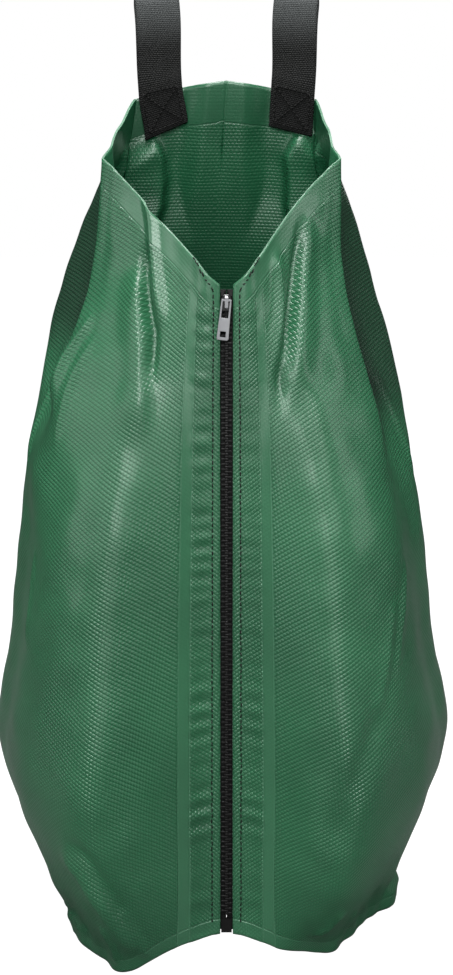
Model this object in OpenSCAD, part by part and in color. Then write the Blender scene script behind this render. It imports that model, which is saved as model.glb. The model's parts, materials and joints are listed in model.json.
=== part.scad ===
// Tree watering bag: a double-walled coated-fabric sleeve that zips shut around a trunk.
// Origin: middle of the footprint on the ground. The zipper faces -Y, +Z is up.

/* [Bag] */
// Height of the rear top hem above the ground
bag_h = 706; // [680:1:730]
// Height of the zipper's upper end, at the bottom of the V neck
neck_h = 545; // [530:1:555]
// Height of the zipper's lower end above the ground
zip_foot_h = 38; // [30:1:45]
// Thickness of one layer of coated fabric, as a solid
fabric_t = 1.2; // [0.8:0.1:1.4]
// Gap between the two layers where they are welded together
weld_gap = 0.2; // [0.1:0.05:0.3]
// Gap between the two layers where they hold the water
chamber_gap = 12; // [8:1:13]

/* [Zipper] */
// Width of the closed chain of teeth
chain_w = 8.4; // [8:0.1:8.6]
// Distance between two teeth on the same tape
tooth_pitch = 4; // [4:0.5:5]
// Thickness of a tooth, front to back
tooth_t = 3; // [2.6:0.1:3.2]
// Width of each tape outside the teeth
tape_w = 11; // [10:1:12]

/* [Straps] */
// Width of the webbing
strap_w = 38; // [36:1:40]
// Thickness of one layer of webbing
web_t = 1.4; // [1.2:0.1:1.6]
// Height of a loop above the hem
loop_h = 74; // [68:1:80]
// Length of the doubled end that is sewn to the band below the hem
tail_h = 38; // [32:1:42]
// Distance of each strap's middle from the middle of the bag
strap_x = 54; // [53:1:56]

/* [Drip outlets] */
// Diameter of the welded patch around each drip hole
patch_d = 30; // [24:1:34]
// Diameter of the drip hole in the patch
drip_d = 2; // [1.5:0.1:3]

/* [Hidden] */
$fn = 32;

green = "#46795C";
black = "#262626";
webbing = "#2B2D2B";
grey = "#8A8A8D";

// The zipper runs in one straight line that leans back from foot to neck.
zip_foot = [0, -152, zip_foot_h];
zip_neck = [0, -77, neck_h];
zip_lean = atan((zip_neck[1] - zip_foot[1]) / (zip_neck[2] - zip_foot[2]));
zip_len = norm(zip_neck - zip_foot);
zip_recess = 3.7; // the zipper's mid plane lies this far behind the face of the fabric
edge_x = 5; // the fabric stops this far from the middle of the chain
placket_x = chain_w / 2 + tape_w + 3.5; // the fabric lies flat as far as this
function zip_y(z) = zip_foot[1] + (z - zip_foot[2]) * tan(zip_lean);

// Shape of one half of the bag: at each level, the plan points [x, y] of seven lines that
// run from the ground to the hem: weld band, lobe crest, pleat edge, pleat bottom,
// widest line, rear corner and middle of the back. Two more lines, at the fabric's edge and
// at the outer edge of the zipper tape, keep the fabric flat over the tape.
levels = [0, 60, 150, 250, 350, 440, 500, 560, 610, 650, 706];
lines = [
    [[42, -157], [82, -151], [116, -100], [133, -50], [144, 0], [110, 95], [0, 135]],
    [[42, -163], [92, -177], [134, -116], [155, -58], [165, 5], [128, 115], [0, 162]],
    [[42, -152], [100, -184], [156, -124], [182, -62], [193, 5], [144, 132], [0, 183]],
    [[42, -137], [95, -160], [148, -112], [168, -58], [179, 8], [136, 130], [0, 178]],
    [[42, -119], [88, -130], [136, -92], [153, -46], [168, 14], [127, 122], [0, 165]],
    [[42, -99], [82, -94], [126, -56], [130, -16], [156, 40], [120, 112], [0, 149]],
    [[42, -78], [78, -62], [112, -36], [104, 0], [146, 60], [114, 106], [0, 136]],
    [[42, -55], [75, -33], [101, -10], [89, 14], [128, 70], [104, 99], [0, 123]],
    [[42, -44], [76, -19], [97, -2], [87, 14], [109, 64], [92, 96], [0, 113]],
    [[42, -42], [76, -14], [96, 2], [92, 18], [92, 48], [82, 92], [0, 106]],
    [[42, -42], [76, -12], [94, 3], [91, 18], [86, 44], [77, 88], [0, 99]]
];
// Height of the hems where each line meets them, from the zipper edge to the back.
hem_top = [neck_h, 557, 584, 622, 640, 650, 664, bag_h - 16, bag_h];
hem_foot = [zip_foot_h, 35, 27, 3, 0, 0, 0, 0, 0];
back = 8; // number of the line at the middle of the back, counting the zipper edge as 0
cols = 4; // columns of facets between two lines
rows = 20;

function cubic(a, b, c, d, t) =
    b + 0.5 * t * ((c - a) + t * ((2 * a - 5 * b + 4 * c - d) + t * (3 * b - a - 3 * c + d)));
function along(list, t) =
    let (n = len(list) - 1, i = min(floor(t), n - 1))
    cubic(list[max(i - 1, 0)], list[i], list[i + 1], list[min(i + 2, n)], t - i);
function level_at(z) = lookup(z, [for (i = [0:len(levels) - 1]) [levels[i], i]]);

// Plan point of line k at height z; k = 0 is the edge beside the zipper.
function line_at(k, z) =
    k == 0 ? [edge_x, zip_y(z) - zip_recess] :
    k == 1 ? [placket_x, zip_y(z) - zip_recess - 0.6] :
    along([for (row = lines) row[k - 2]], level_at(z));
// Lines past the back belong to the left half, in mirror image.
function around(k, z) = k <= back ? line_at(k, z) : let (p = line_at(2 * back - k, z)) [-p[0], p[1]];
function hem_at(list, t) = let (s = t <= back ? t : 2 * back - t) along(list, s);

function plan(t, z) =
    let (i = min(floor(t), 2 * back - 1))
    cubic(around(max(i - 1, 0), z), around(i, z), around(i + 1, z),
          around(min(i + 2, 2 * back), z), t - i);
function inward(t, z) =
    let (step = 0.05,
         d = plan(min(t + step, 2 * back), z) - plan(max(t - step, 0), z))
    [-d[1], d[0]] / norm(d);
function fabric_point(t, v, depth) =
    let (z = max(hem_at(hem_foot, t), 0) * (1 - v) + hem_at(hem_top, t) * v,
         p = plan(t, z) + inward(t, z) * depth)
    [p[0], p[1], z];

// Distance of the inner layer behind the outer one. It is welded beside the zipper, along
// the hems and down the pleats; at the middle of the back it stays open as the fill mouth.
function ramp(x, a, b) = let (f = min(max((x - a) / (b - a), 0), 1)) f * f * (3 - 2 * f);
function layer_gap(t, v) =
    let (s = t <= back ? t : 2 * back - t,
         mouth = ramp(s, back - 0.5, back - 0.2),
         crown = 1 - ramp(v, 0.5 + 0.3 * ramp(s, 5.5, 7), 0.62 + 0.3 * ramp(s, 5.5, 7)))
    weld_gap + (chamber_gap - weld_gap) * ramp(s, 2.2, 3.2) * ramp(v, 0.02, 0.14)
             * max(crown, mouth);

// A sheet between two depths, closed along its hems and along both edges of the zipper.
module sheet(near, far) {
    n = 2 * back * cols + 1;
    face = [for (side = [0, 1], r = [0:rows], c = [0:n - 1])
        let (t = c / cols, v = r / rows)
        fabric_point(t, v, side == 0 ? near(t, v) : far(t, v))];
    function at(side, r, c) = side * (rows + 1) * n + r * n + c;
    function quad(a, b, c, d) = [[a, b, c], [a, c, d]];
    walls = [for (r = [0:rows - 1], c = [0:n - 2])
        each concat(
            quad(at(0, r, c), at(0, r + 1, c), at(0, r + 1, c + 1), at(0, r, c + 1)),
            quad(at(1, r, c), at(1, r, c + 1), at(1, r + 1, c + 1), at(1, r + 1, c)))];
    hems = [for (c = [0:n - 2])
        each concat(
            quad(at(0, 0, c), at(0, 0, c + 1), at(1, 0, c + 1), at(1, 0, c)),
            quad(at(0, rows, c), at(1, rows, c), at(1, rows, c + 1), at(0, rows, c + 1)))];
    edges = [for (r = [0:rows - 1])
        each concat(
            quad(at(0, r, 0), at(1, r, 0), at(1, r + 1, 0), at(0, r + 1, 0)),
            quad(at(0, r, n - 1), at(0, r + 1, n - 1), at(1, r + 1, n - 1), at(1, r, n - 1)))];
    polyhedron(face, concat(walls, hems, edges));
}
module outer_panel() {
    color(green) sheet(function(t, v) 0, function(t, v) fabric_t);
}
module inner_panel() {
    color(green) sheet(function(t, v) fabric_t + layer_gap(t, v),
                       function(t, v) 2 * fabric_t + layer_gap(t, v));
}

// Parts of the zipper are drawn upright: x across the chain, z from 0 at its foot, and
// -y towards the front.
module on_zipper() {
    translate(zip_foot) rotate([-zip_lean, 0, 0]) children();
}
module block(low, high) {
    translate(low) cube(high - low);
}

chain_foot = 14; // the first tooth stands this far above the foot
chain_top = zip_len - 16;
tape_t = 0.8;
reach = 1.6; // how far a tooth reaches across the middle
tooth_gap = 0.1;
tooth_count = floor((chain_top - chain_foot) / tooth_pitch);

module tape() {
    block([chain_w / 2, -tape_t / 2, 2], [chain_w / 2 + tape_w, tape_t / 2, zip_len - 4]);
}
module tooth() {
    h = tooth_pitch / 2 - tooth_gap;
    block([-reach, -tooth_t / 2, 0], [reach, tooth_t / 2, h]);
    block([reach, -tooth_t / 2 + 0.4, 0], [chain_w / 2, tooth_t / 2 - 0.4, h]);
}
module teeth(offset_z) {
    for (i = [0:tooth_count - 1])
        translate([0, 0, chain_foot + offset_z + i * tooth_pitch]) tooth();
}
module zipper_tape_right() { color(black) on_zipper() tape(); }
module zipper_tape_left() { color(black) on_zipper() mirror([1, 0, 0]) tape(); }
module zipper_teeth_right() { color(black) on_zipper() teeth(0); }
module zipper_teeth_left() {
    color(black) on_zipper() mirror([1, 0, 0]) teeth(tooth_pitch / 2);
}

// A stop at the top of each tape keeps the slider on the chain.
module stop() {
    block([2.1, -tooth_t / 2, zip_len - 9], [chain_w / 2, tooth_t / 2, zip_len - 5]);
}
module top_stop_right() { color(black) on_zipper() stop(); }
module top_stop_left() { color(black) on_zipper() mirror([1, 0, 0]) stop(); }

// The box on the right tape takes the pin of the left tape, so the zipper can come apart.
box_h = 11;
pin_w = 2;
pin_x = -chain_w / 2 + 1;
module retainer_box() {
    color(black) on_zipper() difference() {
        block([-chain_w / 2, -2, 0], [chain_w / 2, 2, box_h]);
        block([pin_x - 0.3, -1.2, 1.5], [pin_x + pin_w + 0.3, 1.2, box_h + 1]);
    }
}
module insertion_pin() {
    color(black) on_zipper()
        block([pin_x, -0.9, 1.8], [pin_x + pin_w, 0.9, chain_foot - 0.4]);
}

// Running stitches: a row of short threads on the face of the fabric, one row per side.
stitch_l = 3;
stitch_gap = 1.4;
stitch_x = 11.5;
stitch_y = -zip_recess - 0.8;
thread = 0.7;
module stitch_row() {
    step = stitch_l + stitch_gap;
    for (z = [8:step:zip_len - 8])
        block([stitch_x - thread / 2, stitch_y - thread / 2, z],
              [stitch_x + thread / 2, stitch_y + thread / 2, z + stitch_l]);
}
module zipper_stitching_right() { color(black) on_zipper() stitch_row(); }
module zipper_stitching_left() { color(black) on_zipper() mirror([1, 0, 0]) stitch_row(); }

// The slider rides around the chain, with its wedge just above the highest tooth.
slider_l = 13;
slider_w = 9.4;
slider_z = chain_top - 5; // foot of the slider when the bag is closed
plate_t = 1.1;
play = 0.25;
front_y = -tooth_t / 2 - play;
wedge_w = 2.4;
module slider_body() {
    color(black) on_zipper() translate([0, 0, slider_z]) {
        for (side = [-1, 1]) {
            y = side * (tooth_t / 2 + play);
            translate([-slider_w / 2, side > 0 ? y : y - plate_t, 0]) cube([slider_w, plate_t, slider_l]);
        }
        block([-wedge_w / 2, front_y - 0.1, slider_l - 3.5], [wedge_w / 2, -front_y + 0.1, slider_l]);
    }
}

// The bridge is an arch along the slider's face; the pull tab's top bar turns under it.
bridge_w = 2.6;
bridge_t = 1;
bar_r = 0.8;
eye = bar_r + 0.3;
bar_y = front_y - plate_t - eye; // axis of the bar
bar_z = slider_z + 8.5;
module slider_bridge() {
    face_y = front_y - plate_t;
    color(grey) on_zipper() difference() {
        block([-bridge_w / 2, bar_y - eye - bridge_t, slider_z + 1.5], [bridge_w / 2, face_y, slider_z + 12]);
        block([-bridge_w, bar_y - eye, slider_z + 3], [bridge_w, face_y + 1, slider_z + 10.5]);
    }
}

// The tab hangs a little askew from its bar: a frame around the bridge, then a grip that
// widens downwards and ends in a small window.
tab_l = 31;
tab_t = 1.4;
tab_top_w = 7.8;
tab_foot_w = 9.4;
tab_skew = 6;
rail_w = 1.7;
frame_l = 14;
window_w = 4.3;
module pull_tab() {
    color(grey) on_zipper() translate([0, bar_y, bar_z]) rotate([0, tab_skew, 0]) {
        translate([0, -0.3, 0]) rotate([90, 0, 0]) linear_extrude(tab_t) difference() {
            polygon([[-tab_top_w / 2, 0.2], [tab_top_w / 2, 0.2],
                     [tab_foot_w / 2, -tab_l + 1], [tab_foot_w / 2 - 1, -tab_l],
                     [1 - tab_foot_w / 2, -tab_l], [-tab_foot_w / 2, -tab_l + 1]]);
            translate([rail_w - tab_top_w / 2, -frame_l]) square([tab_top_w - 2 * rail_w, frame_l + 1]);
            translate([-window_w / 2, 2.4 - tab_l]) square(window_w);
        }
        translate([-tab_top_w / 2, 0, 0]) rotate([0, 90, 0]) cylinder(r = bar_r, h = tab_top_w);
    }
}

// Each strap: a doubled end sewn inside the band, and a loop that folds about the hem.
strap_yaw = 11;
strap_roll = 3;
loop_lean = 12;
hem_clear = 2.4; // the fold stands this far above the hem
strap_y = 89.5;
strap_z = bag_h - 5 + hem_clear;
fold_r = 1.5;
module on_strap(side) {
    translate([side * strap_x, strap_y, strap_z])
        rotate([0, side * strap_roll, -side * strap_yaw]) children();
}
module strap_tail(side) {
    color(webbing) on_strap(side)
        block([-strap_w / 2, -web_t, -tail_h - hem_clear], [strap_w / 2, web_t, -fold_r - 0.4]);
}
// Side outline of the loop: two legs that part upwards and meet in a round bend.
bend_r = 5;
module loop_outline(grow) {
    hull() {
        circle(r = fold_r - web_t + grow);
        translate([0, loop_h - bend_r - web_t]) circle(r = bend_r + grow);
    }
}
module strap_loop(side) {
    color(webbing) on_strap(side) rotate([loop_lean, 0, 0]) rotate([90, 0, 90])
        translate([0, 0, -strap_w / 2]) difference() {
            linear_extrude(strap_w) loop_outline(web_t);
            translate([0, 0, -1]) linear_extrude(strap_w + 2) loop_outline(0.01);
        }
}
module strap_left_tail() { strap_tail(-1); }
module strap_right_tail() { strap_tail(1); }
module strap_left_loop() { strap_loop(-1); }
module strap_right_loop() { strap_loop(1); }

// A square of stitches with a cross in it holds each doubled end.
module seam(from, to) {
    v = to - from;
    n = floor(norm(v) / 4);
    for (i = [0:n - 1])
        translate([from[0] + v[0] * (i + 0.5) / n, -web_t - thread / 2, from[1] + v[1] * (i + 0.5) / n])
            rotate([0, -atan2(v[1], v[0]), 0]) cube([2.6, thread, thread], center = true);
}
module strap_stitching(side) {
    w = strap_w / 2 - 4;
    top = -fold_r - 4;
    foot = -tail_h - hem_clear + 4;
    color(black) on_strap(side) {
        seam([-w, top], [w, top]);
        seam([-w, foot], [w, foot]);
        for (s = [-1, 1]) seam([s * w, foot + 2], [s * w, top - 2]);
        seam([-w + 2.5, foot + 2.5], [w - 2.5, top - 2.5]);
    }
}
module strap_stitching_left() { strap_stitching(-1); }
module strap_stitching_right() { strap_stitching(1); }

// Drip patches: welded low on the back, each with a small hole that lets the water out.
patch_t = 1;
patch_x = 60;
patch_z = 34;
module drip_patch(side) {
    t = back - 0.55 * side;
    p = plan(t, patch_z);
    n = inward(t, patch_z);
    color(green) translate([p[0], p[1], patch_z]) rotate([0, 0, atan2(-n[1], -n[0])]) rotate([0, 90 + 24, 0])
        difference() {
            translate([0, 0, -0.3]) cylinder(d = patch_d, h = patch_t + 0.3);
            translate([0, 0, -1]) cylinder(d = drip_d, h = patch_t + 2);
        }
}
module drip_patch_right() { drip_patch(1); }
module drip_patch_left() { drip_patch(-1); }

outer_panel();
inner_panel();
zipper_tape_left();
zipper_tape_right();
zipper_teeth_left();
zipper_teeth_right();
top_stop_left();
top_stop_right();
insertion_pin();
retainer_box();
zipper_stitching_left();
zipper_stitching_right();
slider_body();
slider_bridge();
pull_tab();
strap_left_tail();
strap_right_tail();
strap_left_loop();
strap_right_loop();
strap_stitching_left();
strap_stitching_right();
drip_patch_left();
drip_patch_right();
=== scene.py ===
import bmesh
import bpy
import json
import math
import random
import numpy as np
from mathutils import Matrix, Vector


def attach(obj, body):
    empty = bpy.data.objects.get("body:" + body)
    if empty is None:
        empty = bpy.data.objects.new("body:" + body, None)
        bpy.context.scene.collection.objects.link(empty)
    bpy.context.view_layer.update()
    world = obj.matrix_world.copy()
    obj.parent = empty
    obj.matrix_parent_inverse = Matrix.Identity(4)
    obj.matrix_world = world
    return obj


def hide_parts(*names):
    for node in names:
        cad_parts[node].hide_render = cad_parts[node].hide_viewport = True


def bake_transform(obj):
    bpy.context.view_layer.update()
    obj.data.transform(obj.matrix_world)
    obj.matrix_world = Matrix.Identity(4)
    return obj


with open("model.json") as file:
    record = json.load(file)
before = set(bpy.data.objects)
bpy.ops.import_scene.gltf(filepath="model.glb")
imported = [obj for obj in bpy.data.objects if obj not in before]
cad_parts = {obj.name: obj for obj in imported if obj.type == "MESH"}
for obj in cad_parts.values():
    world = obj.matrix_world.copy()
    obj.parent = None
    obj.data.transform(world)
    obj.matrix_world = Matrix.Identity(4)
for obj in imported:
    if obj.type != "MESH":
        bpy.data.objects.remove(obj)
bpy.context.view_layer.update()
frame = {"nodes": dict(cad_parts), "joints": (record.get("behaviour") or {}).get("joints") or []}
nodes = frame["nodes"]
joints = {j["name"]: j for j in frame["joints"]}
random.seed(11)
mm = 0.001

# The camera stands a little above the bag and looks slightly down at its middle.
view = {"tilt": 12.5, "away": 1.25, "aim": 0.367, "lens": 54.3}


def makeCamera():
    data = bpy.data.cameras.new("camera")
    data.lens = view["lens"]
    data.sensor_width = 36
    data.clip_start = 0.05
    camera = bpy.data.objects.new("camera", data)
    bpy.context.scene.collection.objects.link(camera)
    tilt = math.radians(view["tilt"])
    aim = Vector((0, 0, view["aim"]))
    camera.location = aim + Vector((0, -math.cos(tilt), math.sin(tilt))) * view["away"]
    camera.rotation_euler = (math.pi / 2 - tilt, 0, 0)
    bpy.context.scene.camera = camera


makeCamera()
print("stage: camera")


def smooth(x):
    x = np.clip(x, 0, 1)
    return x * x * (3 - 2 * x)


def cubic(a, b, c, d, t):
    return b + 0.5 * t * ((c - a) + t * ((2 * a - 5 * b + 4 * c - d) + t * (3 * b - a - 3 * c + d)))


def along(values, t):
    values = np.asarray(values, float)
    last = len(values) - 1
    i = np.clip(np.floor(t).astype(int), 0, last - 1)
    f = t - i
    if values.ndim > 1:
        f = f[..., None]
    return cubic(values[np.maximum(i - 1, 0)], values[i], values[i + 1], values[np.minimum(i + 2, last)], f)


def unit(v):
    return v / np.maximum(np.linalg.norm(v, axis=-1, keepdims=True), 1e-12)


def makeObject(name, points, faces, materials, kinds=None, uvs=None, sharp=False):
    mesh = bpy.data.meshes.new(name)
    mesh.from_pydata(np.asarray(points).reshape(-1, 3).tolist(), [], [list(map(int, f)) for f in faces])
    for m in materials:
        mesh.materials.append(m)
    if kinds is not None:
        mesh.polygons.foreach_set("material_index", np.asarray(kinds, np.int32))
    mesh.polygons.foreach_set("use_smooth", np.full(len(mesh.polygons), not sharp))
    corner = np.empty(len(mesh.loops), np.int32)
    mesh.loops.foreach_get("vertex_index", corner)
    for label, values in (uvs or {}).items():
        layer = mesh.uv_layers.new(name=label)
        layer.data.foreach_set("uv", np.asarray(values, np.float32).reshape(-1, 2)[corner].ravel())
    mesh.update()
    made = bpy.data.objects.new(name, mesh)
    bpy.context.scene.collection.objects.link(made)
    return made


# A closed thin shell between two grids of points; kind 0 is the faces, kind 1 the cut edges.
def shellFaces(rows, cols):
    index = np.arange(2 * rows * cols).reshape(2, rows, cols)
    near, far = index
    quads = lambda a: np.stack([a[:-1, :-1], a[:-1, 1:], a[1:, 1:], a[1:, :-1]], -1).reshape(-1, 4)
    front, rear = quads(near), quads(far)[:, ::-1]
    rims = []
    for line, other in ((near[0, ::-1], far[0, ::-1]), (near[-1], far[-1]),
                        (near[:, 0], far[:, 0]), (near[::-1, -1], far[::-1, -1])):
        rims.append(np.stack([line[:-1], line[1:], other[1:], other[:-1]], -1))
    rims = np.concatenate(rims)
    return np.concatenate([front, rear, rims]), np.r_[np.zeros(len(front) + len(rear)), np.ones(len(rims))]


# A tube along a path: used for threads.
def tube(path, radius, sides=6):
    path = np.asarray(path, float)
    ahead = unit(np.gradient(path, axis=0))
    across = unit(np.cross(ahead, [0.31, 0.52, 0.79]))  # any direction that no thread runs along
    up = np.cross(ahead, across)
    turn = np.linspace(0, 2 * math.pi, sides, endpoint=False)
    radius = np.broadcast_to(radius, len(path))[:, None, None]
    spoke = across[:, None] * np.cos(turn)[:, None] + up[:, None] * np.sin(turn)[:, None]
    ring = path[:, None] + radius * spoke
    points = ring.reshape(-1, 3)
    faces = []
    for i in range(len(path) - 1):
        for j in range(sides):
            k = (j + 1) % sides
            faces.append((i * sides + j, i * sides + k, (i + 1) * sides + k, (i + 1) * sides + j))
    faces.append(tuple(range(sides))[::-1])
    faces.append(tuple((len(path) - 1) * sides + j for j in range(sides)))
    return points, faces


def joined(parts):
    points, faces, start = [], [], 0
    for p, f in parts:
        points.append(np.asarray(p))
        faces += [tuple(int(i) + start for i in face) for face in f]
        start += len(p)
    return np.concatenate(points), faces


def wire(tree, kind, inputs=None, **props):
    made = tree.nodes.new(kind)
    for key, value in props.items():
        setattr(made, key, value)
    for key, value in (inputs or {}).items():
        if isinstance(value, bpy.types.NodeSocket):
            tree.links.new(value, made.inputs[key])
        else:
            made.inputs[key].default_value = value
    return made


def calc(tree, operation, *values):
    made = wire(tree, "ShaderNodeMath", dict(enumerate(values)), operation=operation)
    return made.outputs[0]


def mixed(tree, factor, a, b, blend="MIX"):
    made = wire(tree, "ShaderNodeMix", {0: factor, 6: a, 7: b}, data_type="RGBA", blend_type=blend)
    return made.outputs[2]


def ranged(tree, value, low, high, toLow=0.0, toHigh=1.0, soft=True):
    made = wire(tree, "ShaderNodeMapRange", {0: value, 1: low, 2: high, 3: toLow, 4: toHigh},
                interpolation_type="SMOOTHSTEP" if soft else "LINEAR")
    return made.outputs[0]


def noise(tree, vector, scale, detail=3.0, rough=0.5):
    made = wire(tree, "ShaderNodeTexNoise",
                {"Vector": vector, "Scale": scale, "Detail": detail, "Roughness": rough})
    return made.outputs["Fac"]


def uvPair(tree, name):
    uv = wire(tree, "ShaderNodeUVMap", uv_map=name)
    parts = wire(tree, "ShaderNodeSeparateXYZ", {0: uv.outputs[0]})
    return parts.outputs[0], parts.outputs[1]


def colour(r, g, b):
    linear = [((c / 255 + 0.055) / 1.055) ** 2.4 if c > 10 else c / 255 / 12.92 for c in (r, g, b)]
    return (*linear, 1.0)


def newGroup(name, inputs, outputs):
    tree = bpy.data.node_groups.new(name, "ShaderNodeTree")
    for label, kind, value in inputs:
        made = tree.interface.new_socket(name=label, in_out="INPUT", socket_type=kind)
        if value is not None:
            made.default_value = value
    for label, kind in outputs:
        tree.interface.new_socket(name=label, in_out="OUTPUT", socket_type=kind)
    return tree, tree.nodes.new("NodeGroupInput").outputs, tree.nodes.new("NodeGroupOutput").inputs


number, vector = "NodeSocketFloat", "NodeSocketVector"


# Ribs of a coated open weave, in offset cells.
def weaveGroup():
    tree, given, gives = newGroup(
        "coatedWeave",
        [("Across", number, 0.0), ("Along", number, 0.0),
         ("Rib Pitch", number, 0.0028), ("Cell Pitch", number, 0.0029)],
        [("Height", number), ("Rib", number), ("Cell", number)])
    row = calc(tree, "DIVIDE", given["Along"], given["Rib Pitch"])
    odd = calc(tree, "MULTIPLY", calc(tree, "PINGPONG", calc(tree, "FLOOR", row), 1.0), 0.5)
    cell = calc(tree, "ADD", calc(tree, "DIVIDE", given["Across"], given["Cell Pitch"]), odd)
    ribWave = calc(tree, "PINGPONG", calc(tree, "FRACT", row), 0.5)
    cellWave = calc(tree, "PINGPONG", calc(tree, "FRACT", cell), 0.5)
    rib = ranged(tree, ribWave, 0.02, 0.36)
    bead = ranged(tree, cellWave, 0.0, 0.28)
    both = calc(tree, "MULTIPLY", rib, calc(tree, "MULTIPLY_ADD", bead, 0.85, 0.15))
    for label, socket in (("Height", both), ("Rib", rib), ("Cell", bead)):
        tree.links.new(socket, gives[label])
    return tree


# Welded bands: a smooth strip beside the zipper, along the neck and along the ground hem.
def bandGroup():
    tree, given, gives = newGroup(
        "weldBands",
        [("Zipper", number, 0.1), ("Neck", number, 0.1), ("Ground", number, 0.1),
         ("Rear Share", number, 0.15), ("Strip Middle", number, 0.0305), ("Strip Half", number, 0.0052),
         ("Neck Width", number, 0.018), ("Ground Width", number, 0.012)],
        [("Flat", number), ("Border", number)])
    off = calc(tree, "ABSOLUTE", calc(tree, "SUBTRACT", given["Zipper"], given["Strip Middle"]))
    belowNeck = ranged(tree, given["Neck"], 0.0185, 0.0225)
    stripEdge = calc(tree, "SUBTRACT", off, given["Strip Half"])
    strip = calc(tree, "MULTIPLY", ranged(tree, stripEdge, -0.0004, 0.0006, 1.0, 0.0), belowNeck)
    neckEdge = calc(tree, "SUBTRACT", given["Neck"], given["Neck Width"])
    neck = ranged(tree, neckEdge, -0.0005, 0.0007, 1.0, 0.0)
    groundEdge = calc(tree, "SUBTRACT", given["Ground"], given["Ground Width"])
    ground = ranged(tree, groundEdge, -0.0005, 0.0007, 1.0, 0.0)
    rearward = ranged(tree, given["Zipper"], 0.125, 0.150)
    missing = calc(tree, "SUBTRACT", 1.0, given["Rear Share"])
    frontShare = calc(tree, "SUBTRACT", 1.0, calc(tree, "MULTIPLY", rearward, missing))
    flat = calc(tree, "MAXIMUM", strip, calc(tree, "MULTIPLY", neck, frontShare))
    flat = calc(tree, "MAXIMUM", flat, calc(tree, "MULTIPLY", ground, 0.6))
    line = lambda edge: ranged(tree, calc(tree, "ABSOLUTE", edge), 0.0003, 0.0011, 1.0, 0.0)
    border = calc(tree, "MAXIMUM", calc(tree, "MULTIPLY", line(stripEdge), belowNeck), line(neckEdge))
    border = calc(tree, "MAXIMUM", border, line(groundEdge))
    tree.links.new(flat, gives["Flat"])
    tree.links.new(border, gives["Border"])
    return tree


# Uneven tone and gloss: broad clouds, fine mottle and faint scuffs.
def wearGroup():
    tree, given, gives = newGroup(
        "handledWear",
        [("Place", vector, None), ("Broad", number, 9.0), ("Fine", number, 160.0)],
        [("Tone", number), ("Mottle", number), ("Scuff", number)])
    tree.links.new(noise(tree, given["Place"], given["Broad"], 4.0, 0.55), gives["Tone"])
    tree.links.new(noise(tree, given["Place"], given["Fine"], 2.0, 0.6), gives["Mottle"])
    stretched = wire(tree, "ShaderNodeVectorMath", {0: given["Place"], 1: (1.0, 1.0, 0.25)},
                     operation="MULTIPLY")
    streak = noise(tree, stretched.outputs[0], 75.0, 5.0, 0.7)
    tree.links.new(ranged(tree, streak, 0.60, 0.74), gives["Scuff"])
    return tree


weave, bands, wear = weaveGroup(), bandGroup(), wearGroup()


def useGroup(tree, group, inputs):
    return wire(tree, "ShaderNodeGroup", inputs, node_tree=group).outputs


def newMaterial(name, principled, bump):
    material = bpy.data.materials.new(name)
    material.use_nodes = True
    tree = material.node_tree
    tree.nodes.clear()
    bumpNode = wire(tree, "ShaderNodeBump", {"Strength": 1.0, "Distance": 1.0, **bump(tree)})
    shader = wire(tree, "ShaderNodeBsdfPrincipled", {**principled(tree), "Normal": bumpNode.outputs[0]})
    out = tree.nodes.new("ShaderNodeOutputMaterial")
    tree.links.new(shader.outputs[0], out.inputs[0])
    return material


def objectPlace(tree):
    return tree.nodes.new("ShaderNodeTexCoord").outputs["Object"]


# Coated fabric: tones are 0 to 255, and the rib height is in metres.
outerLook = {"green": (38, 106, 69), "deep": (29, 90, 58), "pale": (96, 150, 118),
             "rough": 0.30, "rib": 0.00034, "bands": {}}
# Painted shade: the inner sheet is the same fabric as the outer, with darker tones for the inside of the bag.
innerShadedLook = {"green": (32, 106, 68), "deep": (22, 84, 53), "pale": (56, 106, 78),
             "rough": 0.36, "rib": 0.0002, "bands": {"Neck Width": 0.034, "Rear Share": 0.85}}
# Painted shade: the near black green painted deep in the side pleats.
pleatShadeTone = (3, 20, 11)


def fabricParts(tree, look):
    across, length = uvPair(tree, "Weave")
    zipper, neck = uvPair(tree, "Seam")
    # The Hem layer's second value is the painted pleat shade.
    ground, depth = uvPair(tree, "Hem")
    cells = useGroup(tree, weave, {"Across": across, "Along": length})
    welds = useGroup(tree, bands, {"Zipper": zipper, "Neck": neck, "Ground": ground, **look["bands"]})
    worn = useGroup(tree, wear, {"Place": objectPlace(tree)})
    unpressed = calc(tree, "SUBTRACT", 1.0, calc(tree, "MULTIPLY", welds["Flat"], 0.85))
    woven = calc(tree, "MULTIPLY", cells["Height"], unpressed)
    return cells, welds, worn, woven, depth


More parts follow.
